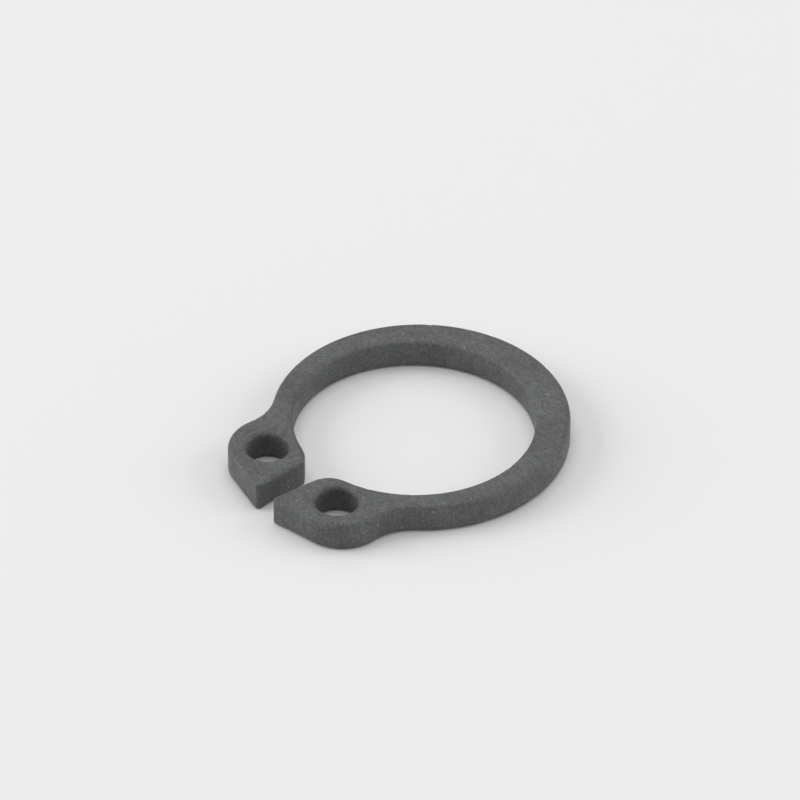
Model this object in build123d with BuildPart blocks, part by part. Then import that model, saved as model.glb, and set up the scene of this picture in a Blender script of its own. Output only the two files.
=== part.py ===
from build123d import *
import os

# External circlip (retaining ring) for a 10 mm shaft, stamped in one piece from spring steel.
# Millimetres. The shaft's axis is Z, the gap faces -Y, and the origin is at half the thickness.

# Stock, and the edges left round by tumbling
thickness = 1.2
edge_round = 0.12

# Ring: a round bore in an eccentric body, widest at the back, opposite the gap
bore_radius = 4.65  # as it lies free; the ring springs open onto a 9.6 mm groove
body_radius = 5.755
body_offset = 0.32

# Lugs: a round shoulder outside with a hollow neck above it, and a toe that clears the shaft
neck_radius = 2.1
shoulder_radius = 1.82
shoulder_centre = (2.02, -5.21)
toe_radius = 1.62

# Gap: its faces lean apart towards the shaft
gap_width = 0.86  # between the lugs' outer ends
gap_length = 2.39
gap_lean = 2.4  # degrees, each face
gap_end = -7.38
outer_corner = 0.15
left_corner = 0.15  # the left-hand toe keeps a crisp corner
right_corner = 1.1  # the right-hand one is rounded off

# Plier holes
hole_radius = 0.8
hole_centre = (2.1, -5.53)

back_outer = (0, body_offset + body_radius)
back_inner = (0, bore_radius)
gap_outer = (gap_width / 2, gap_end)

with BuildPart() as circlip:
    with BuildSketch(Plane.XY.offset(-thickness / 2)) as blank:
        # Right half: round the body, neck, shoulder and gap, and back along the bore
        with BuildLine():
            body = CenterArc((0, body_offset), body_radius, 0, 360, mode=Mode.PRIVATE)
            bore = CenterArc((0, 0), bore_radius, 0, 360, mode=Mode.PRIVATE)
            shoulder = CenterArc(shoulder_centre, shoulder_radius, 0, 360, mode=Mode.PRIVATE)
            neck = ConstrainedArcs(
                (body, Tangency.OUTSIDE),
                (shoulder, Tangency.OUTSIDE),
                radius=neck_radius,
                selector=lambda arcs: arcs.sort_by(Axis.X)[-1],
            )
            flank = ConstrainedLines(
                shoulder, gap_outer, selector=lambda lines: lines.sort_by(Axis.X)[-1]
            )
            gap_face = PolarLine(gap_outer, gap_length, 90 - gap_lean)
            toe = ConstrainedArcs(
                (bore, Tangency.OUTSIDE),
                gap_face @ 1,
                radius=toe_radius,
                selector=lambda arcs: arcs.sort_by(Axis.X)[-1],
            )
            RadiusArc(back_outer, neck @ 0, body_radius)
            RadiusArc(neck @ 1, flank @ 0, shoulder_radius)
            RadiusArc(toe @ 0, back_inner, -bore_radius)
            Line(back_inner, back_outer)
        make_face()
        mirror(about=Plane.YZ)

        # Corners of the gap
        gap_inner = gap_face @ 1
        for x, y, radius in (
            (gap_outer[0], gap_outer[1], outer_corner),
            (-gap_outer[0], gap_outer[1], outer_corner),
            (gap_inner.X, gap_inner.Y, right_corner),
            (-gap_inner.X, gap_inner.Y, left_corner),
        ):
            corner = blank.vertices().sort_by_distance((x, y))[0]
            fillet(corner, radius)
    extrude(amount=thickness)

    with Locations(hole_centre, (-hole_centre[0], hole_centre[1])):
        Hole(hole_radius)

    flat_faces = circlip.faces().filter_by(GeomType.PLANE).group_by(SortBy.AREA)[-1]
    fillet(flat_faces.edges(), edge_round)

circlip.part.label = "circlip"
os.makedirs("parts", exist_ok=True)
export_step(circlip.part, "parts/circlip.step")
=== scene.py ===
import random
from math import ceil, cos, pi, radians, sin, sqrt

import bpy
import numpy as np
from mathutils import Matrix, Vector, noise
from mathutils.geometry import delaunay_2d_cdt


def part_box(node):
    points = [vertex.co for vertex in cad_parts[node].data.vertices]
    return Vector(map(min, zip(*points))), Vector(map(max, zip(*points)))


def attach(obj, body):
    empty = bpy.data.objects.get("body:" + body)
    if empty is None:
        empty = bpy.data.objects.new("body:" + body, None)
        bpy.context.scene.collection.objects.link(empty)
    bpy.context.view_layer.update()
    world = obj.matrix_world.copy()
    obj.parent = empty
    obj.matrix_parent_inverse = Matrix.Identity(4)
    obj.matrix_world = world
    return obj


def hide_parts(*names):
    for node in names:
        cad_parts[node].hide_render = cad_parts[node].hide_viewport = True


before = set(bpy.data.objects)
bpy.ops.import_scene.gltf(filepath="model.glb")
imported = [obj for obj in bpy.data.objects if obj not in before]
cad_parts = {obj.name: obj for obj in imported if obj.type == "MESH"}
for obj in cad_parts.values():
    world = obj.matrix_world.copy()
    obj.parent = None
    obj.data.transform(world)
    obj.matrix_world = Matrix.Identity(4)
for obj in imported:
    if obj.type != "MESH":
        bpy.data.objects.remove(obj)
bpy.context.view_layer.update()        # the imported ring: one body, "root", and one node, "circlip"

# External circlip in black phosphated spring steel, lying on a pale studio floor.
# Blender's unit is the metre. Lengths below are written in millimetres and multiplied by MM.

MM = 0.001
BODY = "root"
NODE = "circlip"
low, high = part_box(NODE)

# Mesh density
STEP = 0.05 * MM           # along a wall and up it
TURN = radians(7)          # most that the outline turns between two columns
ROUND_ROWS = 6             # rows round each soft edge
FACE_GRID = 0.06 * MM      # between the points inside a flat face

# Tumbling has worn the edges softer than the solid's, except at the gap's crisp corners
SOFT_ROUND = 0.21 * MM
CRISP_RADIUS = 0.3 * MM    # a corner tighter than this is crisp
CRISP_REACH = 0.7 * MM     # how far from it the edge takes to grow soft

# Relief left by stamping, tumbling and phosphating, in millimetres. All of it cuts inwards.
SEED = 7
SWELL_DEPTH, SWELL_SIZE = 0.004, 0.9     # broad unevenness
GRAIN_DEPTH, GRAIN_SIZE = 0.0025, 0.16   # crystals of the coating
SHEAR_DEPTH, SHEAR_SIZE = 0.006, 0.11    # upright drag marks on the punched walls
SHEAR_STRETCH = 0.12                     # a mark's width over its height
NICKS = 90
NICK_SIZE = (0.06, 0.2)                  # radius
NICK_SHARE = (0.05, 0.11)                # depth over radius

LEAST_INSET = Vector((1, 1, 1)) * 0.0001 * MM   # keeps every point within the solid's box


# ---------------------------------------------------------------- outline, read from the CAD solid

def wall_rims(node):
    """The upper rims of the solid's upright walls, and their height. Each rim is a closed run of
    points, with the exact outward normals that the CAD mesh carries."""
    mesh = node.data
    upright = [p for p in mesh.polygons if abs(p.normal.z) < 0.001]
    rim_z = max(mesh.vertices[v].co.z for p in upright for v in p.vertices)

    def key(vertex):
        return tuple(round(c / (0.00001 * MM)) for c in vertex.co)

    def on_rim(vertex):
        return abs(vertex.co.z - rim_z) < 0.0001 * MM

    corner, following = {}, {}
    for polygon in upright:
        loops = list(polygon.loop_indices)
        for this, after in zip(loops, loops[1:] + loops[:1]):
            a = mesh.vertices[mesh.loops[this].vertex_index]
            b = mesh.vertices[mesh.loops[after].vertex_index]
            if on_rim(a):
                corner[key(a)] = (a.co.xy.copy(), mesh.corner_normals[this].vector.xy.normalized())
            if on_rim(a) and on_rim(b):
                following[key(a)] = key(b)
    rims = []
    while following:
        at, rim = next(iter(following)), []
        while at in following:
            rim.append(corner[at])
            at = following.pop(at)
        rims.append(rim)
    return rims, rim_z


def resample(rim):
    """Points and outward normals along a rim, close enough together to look round. Each stretch is
    the cubic that leaves both of its ends square to their normals."""
    points, normals = [], []
    for (a, a_normal), (b, b_normal) in zip(rim, rim[1:] + rim[:1]):
        chord = b - a
        a_way, b_way = (Vector((n.y, -n.x)) for n in (a_normal, b_normal))
        if a_way.dot(chord) < 0:
            a_way, b_way = -a_way, -b_way
        bend = a_normal.angle(b_normal)
        count = max(1, ceil(chord.length / STEP), ceil(bend / TURN))
        for i in range(count):
            t = i / count
            bow = t * (1 - t) ** 2 * a_way - t * t * (1 - t) * b_way
            points.append(a + chord * (t * t * (3 - 2 * t)) + chord.length * bow)
            normals.append(a_normal.lerp(b_normal, t).normalized())
    return np.array(points), np.array(normals)


# ---------------------------------------------------------------- mesh

def soft_radii(outline, normals, edge_round):
    """Radius of the tumbled edge at each point of an outline: SOFT_ROUND, coming down to the
    solid's own edge radius where the outline has a crisp corner."""
    ends, end_normals = np.roll(outline, -1, axis=0), np.roll(normals, -1, axis=0)
    lengths = np.linalg.norm(ends - outline, axis=1)
    turns = np.arccos(np.clip((normals * end_normals).sum(1), -1, 1))
    crisp = outline[turns * CRISP_RADIUS > lengths]
    if not len(crisp):
        return np.full(len(outline), SOFT_ROUND)
    near = np.array([np.linalg.norm(crisp - p, axis=1).min() for p in outline])
    share = np.clip(near / CRISP_REACH, 0, 1)
    return edge_round + (SOFT_ROUND - edge_round) * share * share * (3 - 2 * share)


def profile_rows():
    """(lean, share) from the lower face up to the upper one. Lean is the angle of the surface's
    normal above the level, and share is how far up the straight wall the row lies."""
    rounding = [pi / 2 * i / ROUND_ROWS for i in range(1, ROUND_ROWS + 1)]
    wall_rows = ceil((high.z - low.z - 2 * SOFT_ROUND) / STEP)
    rows = [(-lean, 0.0) for lean in reversed(rounding)]
    rows += [(0.0, i / wall_rows) for i in range(wall_rows + 1)]
    return rows + [(lean, 1.0) for lean in rounding]


def inside(points, loops):
    """Which points lie in the metal, by counting how many outlines a ray along +X crosses."""
    crossings = np.zeros(len(points), int)
    for loop in loops:
        ends = np.roll(loop, -1, axis=0)
        for a, b in zip(loop, ends):
            span = (points[:, 1] >= min(a[1], b[1])) & (points[:, 1] < max(a[1], b[1]))
            if a[1] != b[1]:
                x = a[0] + (points[:, 1] - a[1]) * (b[0] - a[0]) / (b[1] - a[1])
                crossings += span & (points[:, 0] < x)
    return crossings % 2 == 1


def fill_face(loops):
    """Triangles that fill a flat face between its outlines, and the extra points inside it. The
    outlines' own points keep their order and come first."""
    rim = np.concatenate(loops)
    grid_y = FACE_GRID * sqrt(3) / 2
    xs = np.arange(rim[:, 0].min(), rim[:, 0].max(), FACE_GRID)
    ys = np.arange(rim[:, 1].min(), rim[:, 1].max(), grid_y)
    rows = [np.stack([xs + FACE_GRID / 2 * (i % 2), np.full(len(xs), y)], 1) for i, y in enumerate(ys)]
    grid = np.concatenate(rows)
    grid = grid[inside(grid, loops)]
    clear = [np.abs(rim - p).max(1).min() > FACE_GRID * 0.5 for p in grid]
    grid = grid[clear]
    edges, first = [], 0
    for loop in loops:
        n = len(loop)
        edges += [(first + i, first + (i + 1) % n) for i in range(n)]
        first += n
    points = np.concatenate([rim, grid])
    made = delaunay_2d_cdt([Vector(p / MM) for p in points], edges, [], 0, 1e-6)
    origin = [indices[0] for indices in made[3]]
    triangles = np.array([[origin[v] for v in face] for face in made[2]])
    middle = points[triangles].mean(1)
    return triangles[inside(middle, loops)], grid


def ring_mesh():
    """The ring's mesh. Its attribute "upright" is 1 on the walls and 0 on the flat faces."""
    rims, rim_z = wall_rims(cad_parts[NODE])
    outlines = [resample(rim) for rim in rims]
    rows = profile_rows()
    points, faces, upright = [], [], []
    face_rims = {0: [], len(rows) - 1: []}
    count = 0
    for outline, normals in outlines:
        n = len(outline)
        radii = soft_radii(outline, normals, high.z - rim_z)
        for r, (lean, share) in enumerate(rows):
            level = outline - normals * (radii * (1 - cos(lean)))[:, None]
            wall = high.z - low.z - 2 * radii
            points.append(np.column_stack([level, low.z + radii * (1 + sin(lean)) + wall * share]))
            upright.append(np.full(n, cos(lean)))
            if r in face_rims:
                face_rims[r].append((level, np.arange(count, count + n)))
            if r:
                here, under = np.arange(count, count + n), np.arange(count - n, count)
                faces.append(np.column_stack([under, here, np.roll(here, -1), np.roll(under, -1)]))
            count += n
    quads = np.concatenate(faces)
    triangles = []
    for r, rim in face_rims.items():
        filled, grid = fill_face([level for level, _ in rim])
        ids = np.concatenate([i for _, i in rim] + [np.arange(count, count + len(grid))])
        points.append(np.column_stack([grid, np.full(len(grid), high.z if r else low.z)]))
        upright.append(np.zeros(len(grid)))
        count += len(grid)
        triangles.append(ids[filled if r else filled[:, ::-1]])
    points = np.concatenate(points)
    mesh = bpy.data.meshes.new("ring")
    mesh.from_pydata(points, [], quads.tolist() + np.concatenate(triangles).tolist())
    mesh.polygons.foreach_set("use_smooth", [True] * len(mesh.polygons))
    attribute = mesh.attributes.new("upright", "FLOAT", "POINT")
    attribute.data.foreach_set("value", np.concatenate(upright))
    mesh.validate()
    mesh.update()
    return mesh


def cut_relief(mesh):
    """Sinks every point a few micrometres along its normal, for the unevenness of the metal, and
    somewhat more in the nicks along the edges."""
    random.seed(SEED)
    count = len(mesh.vertices)
    co, normal, upright = np.empty(count * 3), np.empty(count * 3), np.empty(count)
    mesh.vertices.foreach_get("co", co)
    mesh.vertex_normals.foreach_get("vector", normal)
    mesh.attributes["upright"].data.foreach_get("value", upright)
    co, normal = co.reshape(-1, 3) / MM, normal.reshape(-1, 3)
    depth = np.empty(count)
    for i, p in enumerate(co):
        swell = noise.fractal(Vector(p / SWELL_SIZE), 1.0, 2.0, 3)
        grain = noise.noise(Vector(p / GRAIN_SIZE))
        drag = noise.noise(Vector((p[0], p[1], p[2] * SHEAR_STRETCH)) / SHEAR_SIZE)
        depth[i] = (SWELL_DEPTH * (0.5 - 0.5 * swell) + GRAIN_DEPTH * (0.5 - 0.5 * grain)
                    + SHEAR_DEPTH * (0.5 - 0.5 * drag) * upright[i])
    edge = np.flatnonzero((upright > 0.3) & (upright < 0.95))
    for _ in range(NICKS):
        centre = co[random.choice(edge)]
        size = random.uniform(*NICK_SIZE)
        nick = random.uniform(*NICK_SHARE) * size
        near = 1 - (np.linalg.norm(co - centre, axis=1) / size) ** 2
        depth += nick * np.clip(near, 0, 1) ** 2
    co = (co - normal * depth[:, None]) * MM
    mesh.vertices.foreach_set("co", np.clip(co, low + LEAST_INSET, high - LEAST_INSET).ravel())
    mesh.update()


# ---------------------------------------------------------------- material

class Nodes:
    """A few short names for making a material's nodes."""

    def __init__(self, name):
        self.material = bpy.data.materials.new(name)
        self.material.use_nodes = True
        self.tree = self.material.node_tree
        self.tree.nodes.clear()

    def add(self, kind, inputs=None, **settings):
        node = self.tree.nodes.new("ShaderNode" + kind)
        for name, value in settings.items():
            setattr(node, name, value)
        for socket, value in (inputs or {}).items():
            if isinstance(value, bpy.types.NodeSocket):
                self.tree.links.new(value, node.inputs[socket])
            else:
                node.inputs[socket].default_value = value
        return node

    def link_output(self, shader):
        output = self.add("OutputMaterial")
        self.tree.links.new(shader.outputs[0], output.inputs["Surface"])

    def noise(self, vector, scale, detail=2.0, rough=0.5):
        node = self.add("TexNoise", {"Vector": vector, "Scale": scale, "Detail": detail,
                                     "Roughness": rough})
        return node.outputs["Fac"]

    def ramp(self, value, start, end, to_min=0.0, to_max=1.0):
        node = self.add("MapRange", {"Value": value, "From Min": start, "From Max": end,
                                     "To Min": to_min, "To Max": to_max},
                        interpolation_type="SMOOTHSTEP")
        return node.outputs["Result"]

    def math(self, operation, a, b):
        return self.add("Math", {0: a, 1: b}, operation=operation).outputs[0]

    def mix(self, factor, a, b, blend="MIX"):
        node = self.add("Mix", {"Factor": factor, 6: a, 7: b}, data_type="RGBA", blend_type=blend)
        return node.outputs[2]


def coat_colour(n, mm, grain):
    """Charcoal, faintly green and violet in patches, and uneven in grain."""
    charcoal, green, violet = (0.087, 0.090, 0.093, 1), (0.112, 0.122, 0.117, 1), (0.112, 0.103, 0.115, 1)
    green_patches = n.ramp(n.noise(mm, 0.7, 3), 0.35, 0.65)
    violet_patches = n.ramp(n.noise(mm, 1.7, 3), 0.4, 0.62)
    colour = n.mix(green_patches, charcoal, green)
    colour = n.mix(n.math("MULTIPLY", violet_patches, 0.55), colour, violet)
    shade = n.ramp(grain, 0.25, 0.75, 0.66, 1.34)
    grey = n.add("CombineColor", {0: shade, 1: shade, 2: shade}).outputs[0]
    return n.mix(1.0, colour, grey, "MULTIPLY")


def add_dust(n, mm, colour):
    """Pale specks of dust, one in each of some cells, and fewer outside the cloudy patches."""
    dust_colour = (0.40, 0.40, 0.39, 1)
    cells = n.add("TexVoronoi", {"Vector": mm, "Scale": 4.2, "Randomness": 1.0})
    chosen = n.add("SeparateColor", {0: cells.outputs["Color"]}).outputs[0]
    reach = n.math("MULTIPLY", n.ramp(chosen, 0.45, 1.0), 0.2)
    speck = n.ramp(n.math("SUBTRACT", reach, cells.outputs["Distance"]), -0.02, 0.06)
    cloud = n.ramp(n.noise(mm, 0.55, 2), 0.42, 0.66, 0.25, 1.0)
    dust = n.math("MULTIPLY", speck, cloud)
    return n.mix(n.math("MULTIPLY", dust, 0.5), colour, dust_colour)


def phosphated_steel():
    """Matt charcoal phosphate coat, with specks of dust and a fine grain."""
    n = Nodes("phosphated_steel")
    place = n.add("TexCoord").outputs["Object"]
    mm = n.add("VectorMath", {0: place, 3: 1 / MM}, operation="SCALE").outputs[0]
    grain = n.noise(mm, 9.0, 4, 0.65)
    colour = add_dust(n, mm, coat_colour(n, mm, grain))

    fine = n.noise(mm, 26, 2)
    height = n.math("ADD", n.math("MULTIPLY", grain, 0.7), n.math("MULTIPLY", fine, 0.3))
    bump = n.add("Bump", {"Strength": 0.35, "Distance": 0.012 * MM, "Height": height})
    roughness = n.ramp(n.noise(mm, 3.0, 3), 0.3, 0.7, 0.5, 0.66)
    shader = n.add("BsdfPrincipled", {"Base Color": colour, "Roughness": roughness,
                                      "Normal": bump.outputs[0], "Metallic": 0.0,
                                      "Specular IOR Level": 0.45})
    n.link_output(shader)
    return n.material


def paper():
    """Plain pale paper."""
    n = Nodes("paper")
    n.link_output(n.add("BsdfDiffuse", {"Color": FLOOR_COLOUR}))
    return n.material


# ---------------------------------------------------------------- ring

mesh = ring_mesh()
cut_relief(mesh)
ring = bpy.data.objects.new("phosphated_ring", mesh)
bpy.context.scene.collection.objects.link(ring)
finish = phosphated_steel()
mesh.materials.append(finish)
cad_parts[NODE].material_slots[0].material = finish
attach(ring, BODY)
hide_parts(NODE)


# ---------------------------------------------------------------- studio

FLOOR_SIZE = 0.6
FLOOR_COLOUR = (0.872, 0.872, 0.870, 1)

floor_mesh = bpy.data.meshes.new("floor")
half = FLOOR_SIZE / 2
corners = ((-half, -half), (half, -half), (half, half), (-half, half))
floor_mesh.from_pydata([(x, y, low.z) for x, y in corners], [], [(0, 1, 2, 3)])
floor = bpy.data.objects.new("floor", floor_mesh)
bpy.context.scene.collection.objects.link(floor)
floor_mesh.materials.append(paper())


# Camera, at the photograph's viewing angle
VIEW_AZIMUTH = radians(50.3)     # from -Y towards +X
VIEW_ELEVATION = radians(38.05)
VIEW_ROLL = radians(0.5)
VIEW_DISTANCE = 279 * MM
VIEW_WIDTH = 30.98 * MM          # seen across the picture, at the ring
SENSOR_WIDTH = 36
AIM = Vector((-2.324 * MM, 1.203 * MM, low.z))


def from_angles(azimuth, elevation):
    """The direction of a point at that azimuth and elevation, as seen from the ring."""
    return Vector((sin(azimuth) * cos(elevation), -cos(azimuth) * cos(elevation), sin(elevation)))


back = from_angles(VIEW_AZIMUTH, VIEW_ELEVATION)
camera_data = bpy.data.cameras.new("camera")
camera_data.sensor_width = SENSOR_WIDTH
camera_data.lens = SENSOR_WIDTH * VIEW_DISTANCE / VIEW_WIDTH
camera_data.clip_start = 0.01
camera = bpy.data.objects.new("camera", camera_data)
turn = back.to_track_quat("Z", "Y").to_matrix().to_4x4() @ Matrix.Rotation(VIEW_ROLL, 4, "Z")
camera.matrix_world = Matrix.Translation(AIM + back * VIEW_DISTANCE) @ turn
bpy.context.scene.collection.objects.link(camera)
bpy.context.scene.camera = camera


def softbox(name, azimuth, elevation, size, power):
    """A square lamp that faces the ring. Its azimuth counts from the camera, to its right."""
    lamp = bpy.data.lights.new(name, "AREA")
    lamp.size = size
    lamp.energy = power
    at = from_angles(VIEW_AZIMUTH + radians(azimuth), radians(elevation))
    facing = at.to_track_quat("Z", "Y").to_matrix().to_4x4()
    holder = bpy.data.objects.new(name, lamp)
    holder.matrix_world = Matrix.Translation(at * LAMP_DISTANCE) @ facing
    bpy.context.scene.collection.objects.link(holder)


# A tent of light, weakest on the camera's side
LAMP_DISTANCE = 0.6
TENT_LIGHT = 0.41
softbox("back", 180, 55, 0.5, 0.42)
softbox("top", 180, 88, 0.5, 0.88)
softbox("left", -95, 25, 0.4, 1.70)
softbox("right", 95, 25, 0.4, 1.00)

world = bpy.data.worlds.new("studio")
bpy.context.scene.world = world
world.use_nodes = True
tent = world.node_tree.nodes["Background"]
tent.inputs["Color"].default_value = (1, 1, 1, 1)
tent.inputs["Strength"].default_value = TENT_LIGHT

bpy.context.scene.view_settings.view_transform = "Standard"
